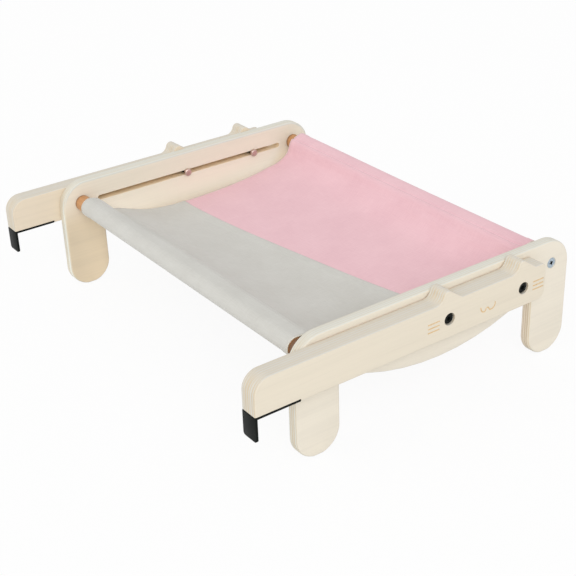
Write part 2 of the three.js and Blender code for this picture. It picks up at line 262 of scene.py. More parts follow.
def plywood(name, inner, thickness, veneers, outside, inside, sawn, painted_where, painted_tint):
    """Plywood whose veneers are counted from the inner face, at inner metres from the middle of the perch.
    inside(x, y, z) is the inner face's colour, which carries painted light, and sawn(x, y, z) the edges',
    which take the last argument's painted light and shade where the mask before it is 1."""
    finish, shader, where = material(name, ply_roughness)
    x, y, z = where.parts()
    even = (abs(x) - inner) * (veneers / thickness)
    depth = even + x.maths("SINE", even * 2.3) * veneer_waver
    crossed = depth.floor() % 2
    facing = where.make("ShaderNodeTexCoord", {}, {}, "Normal")
    sideways, lengthways, upright = facing.parts()
    streaks = where.stretched((60, 9, 420)).noise(1.0, 5.0, 0.62)
    bands = where.stretched((20, 3, 70)).noise(1.0, 2.0)
    flecks = where.stretched((300, 60, 700)).noise(1.0, 1.0).ramp(0.74, 0.8)
    # The inner faces take their own colour, which carries painted light.
    outer = (x * sideways).ramp(-0.02, 0.02)
    plain = outer.blended(inside(x, y, z), outside)
    figure = streaks.ramp(0.42, 0.72) * 0.3 + bands.ramp(0.4, 0.75) * 0.4 + flecks * 0.3
    face = plain.scaled(1 - figure * face_contrast)
    ends = (abs(lengthways) * (1 - crossed) + abs(upright) * crossed * 0.5).ramp(0.1, 0.95)
    along = where.stretched((500, 30, 30)).noise(1.0, 3.0)
    edge = (ends * (along * 0.5 + 0.5)).blended(sawn(x, y, z), ply_end_grain)
    joint = (abs((depth % 1) - 0.5) * 2).ramp(0.7, 0.98) * (along.ramp(0.35, 0.7) * 0.35 + 0.05)
    joint = joint * (abs(lengthways) + 0.45)
    lines = joint.blended(edge, ply_glue)
    colour = (1 - abs(sideways).ramp(0.7, 0.93)).blended(face, lines)
    # Painted colour on the edges: warm bounce light in a panel's slot, and shade beside an arm's inner edge.
    colour = (painted_where(x, y, z) * (1 - abs(sideways).ramp(0.9, 0.99))).blended(colour, painted_tint)
    height = streaks * 0.6 + where.stretched((900, 90, 1500)).noise(1.0, 2.0) * 0.4
    feed(finish, shader, Base_Color=colour, Roughness=streaks * 0.12 + (ply_roughness - 0.06),
         Normal=height.bump(0.12, ply_relief))
    return finish


# The leg panels. Each is sawn from 12 mm plywood, its edges rounded over by a router, with a slot for the
# clamp bolts and a countersunk hole at each end for a dowel's screw.
panel_corner = 0.030
panel_edge = 0.0022
leg_width = 0.050
foot_flat = 0.0005
leg_fillet = 0.008
belly_height = 0.0495
belly_radius = 0.265
axis_below_top = 0.0255
slot_gap = 0.011
dowel_inset = 0.024
dowel_radius = 0.009
slot_radius = 0.0028
dowel_screw_radius = 0.003
dowel_screw_head = 0.0055
dowel_screw_head_height = 0.0026
head_sink = 0.0004
running_gap = 0.0003
overcut = 0.004
eased_edge = 0.0002
panel_veneers = 9
arc_step = 5
edge_segments = 4
merge_distance = 1e-6
tolerance = 1e-5

(panel_inner, front, _), (panel_outer, rear, panel_top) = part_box("right_leg_panel")
axis_height = panel_top - axis_below_top
dowel_places = (front + dowel_inset, rear - dowel_inset)


def started(name):
    """A new piece that is one vertex at zero, left in edit mode to be drawn out from there."""
    bpy.ops.object.select_all(action="DESELECT")
    bpy.ops.mesh.primitive_plane_add(size=0.01)
    piece = bpy.context.object
    piece.name = name
    bpy.ops.object.mode_set(mode="EDIT")
    bpy.ops.mesh.select_all(action="SELECT")
    bpy.ops.mesh.merge(type="CENTER")
    return piece


class Saw:
    """Draws a board's outline as a ribbon across its thickness, by straights and arcs, and fills it."""

    def __init__(self, name, inner, outer, y, z):
        self.piece = started(name)
        bpy.ops.transform.translate(value=(inner, y, z))
        bpy.ops.mesh.extrude_region_move(TRANSFORM_OT_translate={"value": (outer - inner, 0, 0)})
        bpy.ops.mesh.select_all(action="SELECT")
        self.start = y, z
        self.y = y
        self.z = z

    def to(self, y, z):
        bpy.ops.mesh.extrude_region_move(TRANSFORM_OT_translate={"value": (0, y - self.y, z - self.z)})
        self.y = y
        self.z = z

    def arc(self, y, z, degrees):
        """Turns the saw round a centre, with Y to the right and Z up: positive is anticlockwise."""
        steps = max(2, math.ceil(abs(degrees) / arc_step))
        bpy.ops.mesh.spin(steps=steps, angle=math.radians(degrees), center=(0, y, z), axis=(-1, 0, 0))
        cos, sin = math.cos(math.radians(degrees)), math.sin(math.radians(degrees))
        aside, above = self.y - y, self.z - z
        self.y = y + aside * cos - above * sin
        self.z = z + aside * sin + above * cos

    def close(self):
        if math.dist(self.start, (self.y, self.z)) > tolerance:
            self.to(*self.start)
        bpy.ops.mesh.select_all(action="SELECT")
        bpy.ops.mesh.remove_doubles(threshold=merge_distance)
        bpy.ops.mesh.fill_holes(sides=0)
        bpy.ops.mesh.select_all(action="SELECT")
        bpy.ops.mesh.normals_make_consistent(inside=False)
        bpy.ops.object.mode_set(mode="OBJECT")
        return self.piece


def pick(piece):
    """Selects this piece alone and makes it the active one."""
    bpy.ops.object.select_all(action="DESELECT")
    bpy.context.view_layer.objects.active = piece
    piece.select_set(True)


def modified(piece, kind, **settings):
    pick(piece)
    modifier = piece.modifiers.new(kind, kind)
    for name, value in settings.items():
        setattr(modifier, name, value)
    bpy.ops.object.modifier_apply(modifier=modifier.name)


def rounded(piece, radius, segments, angle=50):
    modified(piece, "BEVEL", width=radius, segments=segments, limit_method="ANGLE",
             angle_limit=math.radians(angle), use_clamp_overlap=False)


def cut(piece, cutter, **settings):
    modified(piece, "BOOLEAN", object=cutter, operation="DIFFERENCE", solver="EXACT", **settings)
    bpy.data.objects.remove(cutter)


def turned(name, profile, sides=64):
    """A lathe piece round Z: profile is its (radius, height) points, from the axis and back to it."""
    piece = started(name)
    at = (0.0, 0.0)
    for i, (radius, height) in enumerate(profile):
        step = {"value": (radius - at[0], 0, height - at[1])}
        if i:
            bpy.ops.mesh.extrude_region_move(TRANSFORM_OT_translate=step)
        else:
            bpy.ops.transform.translate(**step)
        at = (radius, height)
    bpy.ops.mesh.select_all(action="SELECT")
    bpy.ops.mesh.spin(steps=sides, angle=2 * math.pi, center=(0, 0, 0), axis=(0, 0, 1))
    bpy.ops.mesh.select_all(action="SELECT")
    bpy.ops.mesh.remove_doubles(threshold=merge_distance)
    bpy.ops.mesh.normals_make_consistent(inside=False)
    bpy.ops.object.mode_set(mode="OBJECT")
    return piece


def placed(piece, place, turn=(0, 0, 0)):
    """Puts a piece where it belongs, and leaves its origin at zero."""
    pick(piece)
    piece.location = place
    piece.rotation_euler = [math.radians(angle) for angle in turn]
    bpy.ops.object.transform_apply()
    return piece


def countersink(radius, head, head_height, depth):
    """A cutter for a countersunk hole, with room all round its screw."""
    hole = radius + running_gap
    mouth = head + running_gap
    return turned("countersink", [
        (0, -depth), (hole, -depth), (hole, -head_sink - head_height), (mouth, -head_sink), (mouth, overcut),
        (0, overcut)])


def mirrored(piece, name):
    """The left-hand twin of a right-hand piece."""
    pick(piece)
    bpy.ops.object.duplicate()
    twin = bpy.context.object
    twin.name = name
    twin.scale.x = -1
    bpy.ops.object.transform_apply()
    bpy.ops.object.mode_set(mode="EDIT")
    bpy.ops.mesh.select_all(action="SELECT")
    bpy.ops.mesh.normals_make_consistent(inside=False)
    bpy.ops.object.mode_set(mode="OBJECT")
    return twin


def smooth(piece, degrees=32):
    pick(piece)
    bpy.ops.object.shade_smooth_by_angle(angle=math.radians(degrees))


foot = leg_width / 2
foot_centre = foot - foot_flat
flat = math.sqrt(foot ** 2 - foot_centre ** 2)
flat_angle = math.degrees(math.asin(flat / foot))
belly_centre = belly_height + belly_radius
corner = leg_width + leg_fillet
middle = (front + rear) / 2
across = rear - middle - corner
fillet_height = belly_centre - math.sqrt((belly_radius + leg_fillet) ** 2 - across ** 2)
belly_turn = math.degrees(math.atan2(belly_centre - fillet_height, across))
shoulder = panel_top - panel_corner

saw = Saw("leg_panel_right", panel_inner, panel_outer, front + foot - flat, 0)
saw.to(front + foot + flat, 0)
saw.arc(front + foot, foot_centre, 90 - flat_angle)
saw.to(front + leg_width, fillet_height)
saw.arc(front + corner, fillet_height, belly_turn - 180)
saw.arc(middle, belly_centre, 180 - 2 * belly_turn)
saw.arc(rear - corner, fillet_height, belly_turn - 180)
saw.to(rear - leg_width, foot_centre)
saw.arc(rear - foot, foot_centre, 90 - flat_angle)
saw.to(rear - foot + flat, 0)
saw.arc(rear - foot, foot_centre, 90 - flat_angle)
saw.to(rear, shoulder)
saw.arc(rear - panel_corner, shoulder, 90)
saw.to(front + panel_corner, panel_top)
saw.arc(front + panel_corner, shoulder, 90)
saw.to(front, foot_centre)
saw.arc(front + foot, foot_centre, 90 - flat_angle)
right_panel = saw.close()
rounded(right_panel, panel_edge, edge_segments)

slot_front = front + dowel_inset + dowel_radius + slot_gap + slot_radius
slot_rear = front + rear - slot_front
slot = Saw("slot", panel_inner - overcut, panel_outer + overcut, slot_front, axis_height + slot_radius)
slot.arc(slot_front, axis_height, 180)
slot.to(slot_rear, axis_height - slot_radius)
slot.arc(slot_rear, axis_height, 180)
cut(right_panel, slot.close())
for y in dowel_places:
    hole = countersink(dowel_screw_radius, dowel_screw_head, dowel_screw_head_height, panel_outer)
    cut(right_panel, placed(hole, (panel_outer, y, axis_height), (0, 90, 0)))
rounded(right_panel, eased_edge, 1)


# Each pair says where a change of colour starts and ends.
# Where the slot's painted bounce light lies.
slot_bounce_heights = (0.0030, 0.0036)  # from the slot's middle line
slot_bounce_places = (0.135, 0.137)  # from the panel's middle
leg_places = (0.105, 0.135)  # from the panel's middle
leg_shade_heights = (0.045, 0.085)
leg_shade_rise = 0.028
upper_shade_heights = (0.076, 0.112)
leg_shade_places = (0.0, 0.055)  # from the panel's front edge
# Where a greyer painted shade lies along the inner face's upper rim.
rim_shade_widths = (0.0014, 0.0034)  # in from the outline
rim_shade_heights = (0.098, 0.118)
rim_widths = (panel_edge, 3 * panel_edge)
change_width = 0.010


# Where the slot's walls take painted warm bounce light.
def in_slot(x, y, z):
    within_height = 1 - abs(z - axis_height).ramp(*slot_bounce_heights)
    return within_height * (1 - abs(y - middle).ramp(*slot_bounce_places))


def inner_face_painted_light(x, y, z):
    """The colour of a panel's inner face: lighter than the outer face, with painted light and shade."""
    beyond = x.maths("MAXIMUM", abs(y - middle) - (0.5 * (rear - front) - panel_corner), 0.0)
    above = x.maths("MAXIMUM", z - shoulder, 0.0)
    inset = panel_corner - x.maths("SQRT", beyond * beyond + above * above)
    leg = abs(y - middle).ramp(*leg_places)
    # A warm painted shade down the legs.
    low = 1 - (z - leg * leg_shade_rise).ramp(*leg_shade_heights)
    # Painted shade near each leg's front edge, and painted light behind it.
    leg_shade = leg * low * ((y - front).ramp(*leg_shade_places) - 0.4) * 0.30
    # Painted shade darkens the face towards its top.
    tone = 1.02 - z.ramp(*upper_shade_heights) * 0.145 + leg_shade
    face = low.blended(panel_inside_lit, leg_inside_shade).scaled(tone)
    # A greyer painted shade along the upper rim.
    rim_shade = (1 - inset.ramp(*rim_shade_widths)) * z.ramp(*rim_shade_heights)
    return rim_shade.blended(face, panel_sawn)


def panel_edges_painted_light(x, y, z):
    """The colour of a panel's sawn edges, with painted light: palest down the left front leg, warmer inside
    the rear legs.
    """
    low = 1 - z.ramp(shoulder - change_width, shoulder + change_width)
    pale = (1 - (y - front).ramp(*rim_widths)) * (1 - x.ramp(-change_width, change_width)) * low
    warm = (1 - abs(y - (rear - leg_width)).ramp(*rim_widths)) * low
    return warm.blended(pale.blended(panel_sawn, leg_front_sawn_lit), leg_back_sawn_bounce_light)


panel_finish = plywood("panel plywood", panel_inner, panel_outer - panel_inner, panel_veneers, panel_outside,
                       inner_face_painted_light, panel_edges_painted_light, in_slot, slot_bounce_light)
right_panel.data.materials.append(panel_finish)
smooth(right_panel)
left_panel = mirrored(right_panel, "leg_panel_left")
for piece, node in ((right_panel, "right_leg_panel"), (left_panel, "left_leg_panel")):
    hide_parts(node)
    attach(piece, "frame")


# The arms. Each is sawn from 20 mm plywood as a cat's face in outline, with two ears. A counterbored hole
# under each ear holds a clamp bolt's head as an eye. The whiskers and the mouth are burnt in, half a
# millimetre deep.
arm_height = 0.0385
arm_veneers = 13
arm_edge = 0.0014
nose_corner = 0.017
tail_top_corner = 0.0065
tail_bottom_corner = 0.009
nose_length = 0.220
eye_spacing = 0.096
ear_reach = 0.0175
ear_flank_radius = 0.010
ear_flank_turn = 75
ear_tip_radius = 0.00567
ear_slope = 36
eye_radius = 0.0063
eye_depth = 0.008
bore_depth = 0.030
plate_thickness = 0.0025
plate_length = 0.048
hook_drop = 0.0235
hook_screw_inset = 0.014
hook_screw_radius = 0.0018
hook_screw_head = 0.0035
hook_screw_head_height = 0.0018
hook_hole_depth = 0.020
groove_radius = 0.0007
groove_depth = 0.0005
whisker_length = 0.0143
whisker_heights = (-0.0060, -0.0018, 0.0025)
whisker_offsets = (-0.0198, 0.0198)
mouth_middle = 0.0487
mouth_points = ((-0.0094, -0.0017), (-0.0078, -0.0060), (-0.0044, -0.0077), (-0.0007, -0.0042),
                (0.0034, -0.0078), (0.0086, -0.0057), (0.0096, -0.0012))
# Where the painted shade in the gap beside the panel lies.
gap_shade_places = (0.012, 0.020)  # back from the panel's front edge
gap_shade_drops = (0.0045, 0.0020)  # below the panel's top
gap_shade_widths = (0.0004, 0.0014)  # out from the arm's inner face
burnt_dark = linear(216, 184, 136)
burnt_light = linear(228, 203, 162)

(arm_inner, arm_front, _), (arm_outer, arm_rear, _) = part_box("right_arm")
arm_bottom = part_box("right_hook_bracket")[0].z + hook_drop
arm_middle = (arm_inner + arm_outer) / 2
arm_top = arm_bottom + arm_height
eye_places = (arm_front + nose_length, arm_front + nose_length + eye_spacing)
plate_top = arm_bottom + plate_thickness
plate_rear = arm_front + plate_length
hook_screw_places = (arm_front + hook_screw_inset, plate_rear - hook_screw_inset)

flank_turn = math.radians(ear_flank_turn)
flank_foot = -ear_reach
flank_top = Vector((flank_foot + ear_flank_radius * math.sin(flank_turn),
                    arm_top + ear_flank_radius * (1 - math.cos(flank_turn))))
tip_centre = flank_top + ear_tip_radius * Vector((math.sin(flank_turn), -math.cos(flank_turn)))
slope = math.radians(ear_slope)
slope_head = tip_centre + ear_tip_radius * Vector((math.sin(slope), math.cos(slope)))
slope_foot = slope_head.x + (slope_head.y - arm_top) / math.tan(slope)

saw = Saw("arm_right", arm_inner, arm_outer, arm_front, arm_bottom)
saw.to(arm_rear - tail_bottom_corner, arm_bottom)
saw.arc(arm_rear - tail_bottom_corner, arm_bottom + tail_bottom_corner, 90)
saw.to(arm_rear, arm_top - tail_top_corner)
saw.arc(arm_rear - tail_top_corner, arm_top - tail_top_corner, 90)
for eye in reversed(eye_places):
    saw.to(eye + slope_foot, arm_top)
    saw.to(eye + slope_head.x, slope_head.y)
    saw.arc(eye + tip_centre.x, tip_centre.y, ear_slope + ear_flank_turn)
    saw.arc(eye + flank_foot, arm_top + ear_flank_radius, -ear_flank_turn)
saw.to(arm_front + nose_corner, arm_top)
saw.arc(arm_front + nose_corner, arm_top - nose_corner, 90)
right_arm = saw.close()
rounded(right_arm, arm_edge, edge_segments)

rebate = Saw("rebate", arm_inner - overcut, arm_outer + overcut, arm_front - overcut, arm_bottom - overcut)
rebate.to(plate_rear + running_gap, arm_bottom - overcut)
rebate.to(plate_rear + running_gap, plate_top)
rebate.to(arm_front - overcut, plate_top)
cut(right_arm, rebate.close())
for eye in eye_places:
    bore = turned("bore", [(0, -bore_depth), (slot_radius, -bore_depth), (slot_radius, -eye_depth),
                           (eye_radius, -eye_depth), (eye_radius, overcut), (0, overcut)])
    cut(right_arm, placed(bore, (arm_outer, eye, axis_height), (0, 90, 0)))
for y in hook_screw_places:
    hole = countersink(hook_screw_radius, hook_screw_head, hook_screw_head_height, hook_hole_depth)
    cut(right_arm, placed(hole, (arm_middle, y, arm_bottom), (180, 0, 0)))
rounded(right_arm, eased_edge, 1)


def in_gap_shade(x, y, z):
    """Where an arm's edges take painted shade: beside its panel, from the front to just below the panel's
    top.
    """
    behind_nose = (y - front).ramp(*gap_shade_places)
    below_top = 1 - z.ramp(panel_top - gap_shade_drops[0], panel_top - gap_shade_drops[1])
    return (1 - (abs(x) - arm_inner).ramp(*gap_shade_widths)) * (behind_nose * below_top)


arm_finish = plywood("arm plywood", arm_inner, arm_outer - arm_inner, arm_veneers, arm_outside,
                     lambda *place: arm_inside_bounce_light, lambda *place: arm_sawn, in_gap_shade, gap_shade_brown)
right_arm.data.materials.append(arm_finish)


def burnt_finish():
    finish, shader, where = material("burnt wood", 0.8)
    shade = where.stretched((900, 500, 900)).noise(1.0, 3.0)
    feed(finish, shader, Base_Color=shade.ramp(0.3, 0.7).blended(burnt_dark, burnt_light))
    return finish


burnt = burnt_finish()


def engrave(places):
    """Burns a round-bottomed line through (y, z) places into the outer face."""
    curve = bpy.data.curves.new("line", "CURVE")
    curve.dimensions = "3D"
    curve.bevel_depth = groove_radius
    curve.bevel_resolution = 3
    curve.use_fill_caps = True
    spline = curve.splines.new("BEZIER")
    spline.bezier_points.add(len(places) - 1)
    for point, (y, z) in zip(spline.bezier_points, places):
        point.co = (arm_outer + groove_radius - groove_depth, y, z)
        point.handle_left_type = point.handle_right_type = "AUTO"
    line = bpy.data.objects.new("line", curve)
    bpy.context.collection.objects.link(line)
    pick(line)
    bpy.ops.object.convert(target="MESH")
    line = bpy.context.object
    line.data.materials.append(burnt)
    cut(right_arm, line, material_mode="TRANSFER")


for eye, offset in zip(eye_places, whisker_offsets):
    for height in whisker_heights:
        ends = (eye + offset - whisker_length / 2, eye + offset + whisker_length / 2)
        engrave([(y, axis_height + height) for y in ends])
engrave([(eye_places[0] + mouth_middle + y, axis_height + z) for y, z in mouth_points])
smooth(right_arm)
left_arm = mirrored(right_arm, "arm_left")
for piece, side in ((right_arm, "right"), (left_arm, "left")):
    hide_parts(side + "_arm")
    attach(piece, side + "_arm")


# The hook brackets. Steel strip, 2.5 mm thick and as wide as the arm, bent down over the arm's front end. It
# is powder-coated black, let into the arm's lower edge and held from below by two screws.
hook_corner = 0.003
hook_bend = 0.002
broken_edge = 0.0003
black_specular = 0.06
black_dark = linear(18, 21, 19)
black_light = linear(25, 28, 26)
coat_relief = 0.0001

saw = Saw("hook_right", arm_inner, arm_outer, arm_front, arm_bottom - hook_drop)
saw.to(arm_front + plate_thickness, arm_bottom - hook_drop)
saw.to(arm_front + plate_thickness, arm_bottom)
saw.to(plate_rear, arm_bottom)
saw.to(plate_rear, plate_top)
saw.to(arm_front + hook_bend, plate_top)
saw.arc(arm_front + hook_bend, plate_top - hook_bend, 90)
right_hook = saw.close()


def select_edges(piece, wanted):
    """Leaves the piece in edit mode with just the edges selected whose two ends make wanted() true."""
    pick(piece)
    bpy.ops.object.mode_set(mode="EDIT")
    bpy.ops.mesh.select_mode(type="EDGE")
    bpy.ops.mesh.select_all(action="DESELECT")
    bpy.ops.object.mode_set(mode="OBJECT")
    for edge in piece.data.edges:
        first, second = (piece.data.vertices[i].co for i in edge.vertices)
        edge.select = wanted(first, second)
    bpy.ops.object.mode_set(mode="EDIT")


def lower_corner(first, second):
    """Whether an edge runs through the strip at one of the hook's two lower corners."""
    level = max(first.z, second.z) < arm_bottom - hook_drop + tolerance
    return level and abs(first.x - second.x) < tolerance < abs(first.y - second.y)


select_edges(right_hook, lower_corner)
bpy.ops.mesh.bevel(offset=hook_corner, segments=8, affect="EDGES")
bpy.ops.mesh.select_mode(type="VERT")
bpy.ops.object.mode_set(mode="OBJECT")
rounded(right_hook, broken_edge, 2)
for y in hook_screw_places:
    hole = countersink(hook_screw_radius, hook_screw_head, hook_screw_head_height, hook_hole_depth)
    cut(right_hook, placed(hole, (arm_middle, y, arm_bottom), (180, 0, 0)))


def black_coat(name, roughness):
    finish, shader, where = material(name, roughness)
    grain = where.noise(2600, 3.0)
    cloud = where.noise(60, 2.0)
    shader.inputs["Specular IOR Level"].default_value = black_specular
    feed(finish, shader, Base_Color=cloud.blended(black_dark, black_light),
         Roughness=cloud * 0.15 + (roughness - 0.07), Normal=grain.bump(0.15, coat_relief))
    return finish


powder_coat = black_coat("black powder coat", 0.42)
right_hook.data.materials.append(powder_coat)
smooth(right_hook)
left_hook = mirrored(right_hook, "hook_left")
for piece, side in ((right_hook, "right"), (left_hook, "left")):
    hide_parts(side + "_hook_bracket")
    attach(piece, side + "_arm")


# The clamp bolts. Black M5 socket-head bolts, one in each eye: through the arm and the slot into a round nut.
# Each turns on its own axis to loosen or tighten its arm.
bolt_radius = 0.0025
bolt_head_radius = 0.0055
bolt_head_height = 0.0062
bolt_head_chamfer = 0.0006
bolt_tip = 0.0012
bolt_pitch = 0.0008
thread_depth = 0.0004
thread_start = -0.012
knurls = 36
knurl_depth = 0.00013
socket_radius = 0.0024
socket_depth = 0.003
bolt_edge = 0.00012
thread_reach = 0.0024

bolt_seat = arm_outer - eye_depth + running_gap
nut_seat = panel_inner - running_gap
bolt_end = nut_seat - thread_reach - bolt_seat


def threaded(radius, depth, pitch, start, end):
    """The profile of a thread from start down to end, as (radius, height) points from the end up."""
    points = []
    turns = int((start - end) / pitch)
    for i in range(turns):
        foot = start - (turns - i) * pitch
        points += [(radius - depth, foot), (radius, foot + 0.5 * pitch)]
    return points + [(radius - depth, start)]


def alternate(piece, radius, low, high, depth):
    """Draws every second vertex inwards on a cylinder's side, which leaves straight ridges."""
    for vertex in piece.data.vertices:
        x, y, z = vertex.co
        if abs(math.hypot(x, y) - radius) < tolerance and low <= z <= high:
            ridge = round(math.atan2(y, x) / math.pi * knurls) % 2
            share = 1 - ridge * depth / radius
            vertex.co = (x * share, y * share, z)


shank = [(0, bolt_end), (bolt_radius - bolt_tip, bolt_end)]
shank += threaded(bolt_radius, thread_depth, bolt_pitch, thread_start, bolt_end + bolt_tip)
shank += [(bolt_radius, thread_start + bolt_pitch), (bolt_radius, 0)]
head = [(bolt_head_radius - broken_edge, 0), (bolt_head_radius, broken_edge),
        (bolt_head_radius, bolt_head_height - bolt_head_chamfer),
        (bolt_head_radius - bolt_head_chamfer, bolt_head_height), (0, bolt_head_height)]
bolt = turned("bolt", shank + head, 2 * knurls)
alternate(bolt, bolt_head_radius, 0.0, bolt_head_height, knurl_depth)
bpy.ops.object.select_all(action="DESELECT")
bpy.ops.mesh.primitive_cylinder_add(vertices=6, radius=socket_radius, depth=2 * socket_depth)
cut(bolt, placed(bpy.context.object, (0, 0, bolt_head_height)))
rounded(bolt, bolt_edge, 2, 35)
bolt.data.materials.append(black_coat("black oxide", 0.32))
smooth(bolt)


def fit_four(pattern, across, places, height, turn, node, body):
    """Puts a copy of the pattern, with a mesh of its own, at the front and the rear place on each side.
    across and turn are the right-hand side's, and the body's name may hold the side and the end."""
    for side, sign in (("right", 1), ("left", -1)):
        for end, y in zip(("front", "rear"), places):
            pick(pattern)
            bpy.ops.object.duplicate()
            piece = placed(bpy.context.object, (sign * across, y, height), (turn[0], sign * turn[1], turn[2]))
            piece.name = f"{pattern.name}_{side}_{end}"
            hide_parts(f"{side}_{end}_{node}")
            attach(piece, body.format(side=side, end=end))
    bpy.data.objects.remove(pattern)


fit_four(bolt, bolt_seat, eye_places, axis_height, (0, 90, 0), "clamp_bolt",
         "{side}_{end}_clamp_bolt")


# The clamp nuts. Low round cap nuts with a domed end, nickel-plated, whose rims press on the leg panel's
# inner face on both sides of the slot.
nut_overlap = 0.0017
nut_radius = slot_radius + nut_overlap
nut_height = 0.0040
nut_round = 0.0016
nut_round_steps = 6
nut_bore = bolt_radius + running_gap
nut_bore_depth = thread_reach + running_gap
# Nickel, tinted pink by a painted reflection of the pink sling.
nickel_pink_reflection = linear(213, 189, 180)
nickel_pink_reflection_dull = linear(193, 169, 160)
plating_relief = 0.00005

dome = []
for i in range(nut_round_steps + 1):
    angle = math.radians(90 * i / nut_round_steps)
    inwards, down = nut_round * (1 - math.cos(angle)), nut_round * (1 - math.sin(angle))
    dome.append((nut_radius - inwards, nut_height - down))
nut = turned("nut", [(0, nut_bore_depth), (nut_bore, nut_bore_depth), (nut_bore, 0),
                     (nut_radius - broken_edge, 0), (nut_radius, broken_edge)] + dome + [(0, nut_height)])


def plated(name, colour, dull, roughness, metallic=1.0):
    finish, shader, where = material(name, roughness, metallic)
    cloud = where.noise(420, 3.0)
    scratch = where.stretched((900, 3800, 3800)).noise(1.0, 2.0)
    feed(finish, shader, Base_Color=cloud.ramp(0.3, 0.7).blended(colour, dull),
         Roughness=scratch * 0.2 + (roughness - 0.1), Normal=scratch.bump(0.08, plating_relief))
    return finish


# The pink tint in its colours is a painted reflection of the sling.
nut.data.materials.append(plated("satin nickel", nickel_pink_reflection, nickel_pink_reflection_dull, 0.4))
smooth(nut)
fit_four(nut, nut_seat, eye_places, axis_height, (0, -90, 0), "clamp_nut", "{side}_arm")


# The countersunk screws. Cross-head machine screws: four of M6, zinc-plated, hold the dowels, and four small
# black ones hold the hooks. Each head lies just below the face that it is sunk in.
screw_tip = 0.0012
screw_rim = 0.0002
dowel_screw_length = 0.031
dowel_screw_pitch = 0.001
dowel_screw_cross = (0.0068, 0.0022, 0.0020)
hook_screw_length = 0.015
hook_screw_pitch = 0.0007
hook_screw_cross = (0.0038, 0.0009, 0.0011)
cross_turn = 20
cross_tapers = (0.35, 0.6)
zinc_light = linear(188, 201, 209)
zinc_dark = linear(161, 174, 187)


def cross_screw(name, radius, length, pitch, head, head_height, cross, coat):
    """A screw whose height runs outwards, with zero at the head's face. cross is the recess's length, width
    and depth."""
    neck = -head_height - pitch
    piece = turned(name, [(0, -length), (radius - screw_tip, -length)]
                   + threaded(radius, pitch * 0.5, pitch, neck, screw_tip - length)
                   + [(radius, neck), (radius, -head_height), (head, -broken_edge), (head - screw_rim, 0),
                      (0, 0)], 48)
    piece.data.materials.append(coat)
    for turn in (0, 90):
        bpy.ops.object.select_all(action="DESELECT")
        bpy.ops.mesh.primitive_cube_add(size=1)
        wing = bpy.context.object
        bpy.ops.object.mode_set(mode="EDIT")
        bpy.ops.mesh.select_all(action="SELECT")
        bpy.ops.transform.resize(value=(cross[0], cross[1], 2 * cross[2]))
        bpy.ops.object.mode_set(mode="OBJECT")
        for vertex in wing.data.vertices:
            if vertex.co.z < 0:
                vertex.co.x *= cross_tapers[0]
                vertex.co.y *= cross_tapers[1]
        # The recess's walls take painted shade.
        wing.data.materials.append(recess)
        cut(piece, placed(wing, (0, 0, 0), (0, 0, turn + cross_turn)), material_mode="TRANSFER")
    smooth(piece, 30)
    return piece


# The dark coat in the cross recesses is painted shade.
recess = black_coat("dark recess", 0.7)
dowel_screw = cross_screw("dowel_screw", dowel_screw_radius, dowel_screw_length, dowel_screw_pitch,
                          dowel_screw_head, dowel_screw_head_height, dowel_screw_cross,
                          plated("blue zinc", zinc_light, zinc_dark, 0.34))
fit_four(dowel_screw, panel_outer - head_sink, dowel_places, axis_height, (0, 90, 0), "dowel_screw",
         "frame")

hook_screw = cross_screw("hook_screw", hook_screw_radius, hook_screw_length, hook_screw_pitch,
                         hook_screw_head, hook_screw_head_height, hook_screw_cross,
                         black_coat("black oxide screw", 0.36))
fit_four(hook_screw, arm_middle, hook_screw_places, arm_bottom + head_sink, (180, 0, 0), "hook_screw",
         "{side}_arm")


# The dowel inserts. Brass sleeves, grooved outside to grip the dowel and bored for the M6 screws, pressed in
# one millimetre below its end.
insert_wall = 0.0014
insert_length = 0.014
insert_inset = 0.001
insert_bore = dowel_screw_radius + running_gap
insert_radius = insert_bore + insert_wall
insert_grooves = 5
insert_groove_half = 0.0008
insert_groove_depth = 0.0005
brass_light = linear(214, 176, 96)
brass_dark = linear(188, 146, 72)

groove_bottom = insert_radius - insert_groove_depth
sleeve = [(insert_bore, -insert_length), (insert_radius - broken_edge, -insert_length)]
for i in range(insert_grooves):
    groove = -insert_length + insert_length * (i + 0.5) / insert_grooves
    sleeve += [(insert_radius, groove - insert_groove_half), (groove_bottom, groove - insert_groove_half / 2),
               (groove_bottom, groove + insert_groove_half / 2), (insert_radius, groove + insert_groove_half)]
sleeve += [(insert_radius, 0), (insert_bore, 0), (insert_bore, -insert_length)]
insert = turned("insert", sleeve, 48)
insert.data.materials.append(plated("brass", brass_light, brass_dark, 0.3))
smooth(insert)
fit_four(insert, panel_inner - insert_inset, dowel_places, axis_height, (0, 90, 0), "dowel_insert",
         "frame")


# The dowels. Turned beech, 18 mm across, oiled to a warm orange tan, with painted shadow on the bare right
# ends.
# Each end is bored for a threaded insert, which the screw through the leg panel grips.
pocket_radius = 0.0050
pocket_depth = 0.038
dowel_chamfer = 0.0006
half_dowel = panel_inner
cloth_half_width = 0.198
beech_light = linear(203, 150, 101)
beech_dark = linear(183, 129, 82)
# The colour of the end rings, partly stain and partly painted shade, and of the painted shadow on the bare
# right ends.
beech_stain_and_shade = linear(96, 64, 40)
end_stain_and_shade_places = (half_dowel - 0.0045, half_dowel - 0.0010)
bare_end_shadow_places = (cloth_half_width - 0.0006, cloth_half_width + 0.0012)
beech_relief = 0.0002


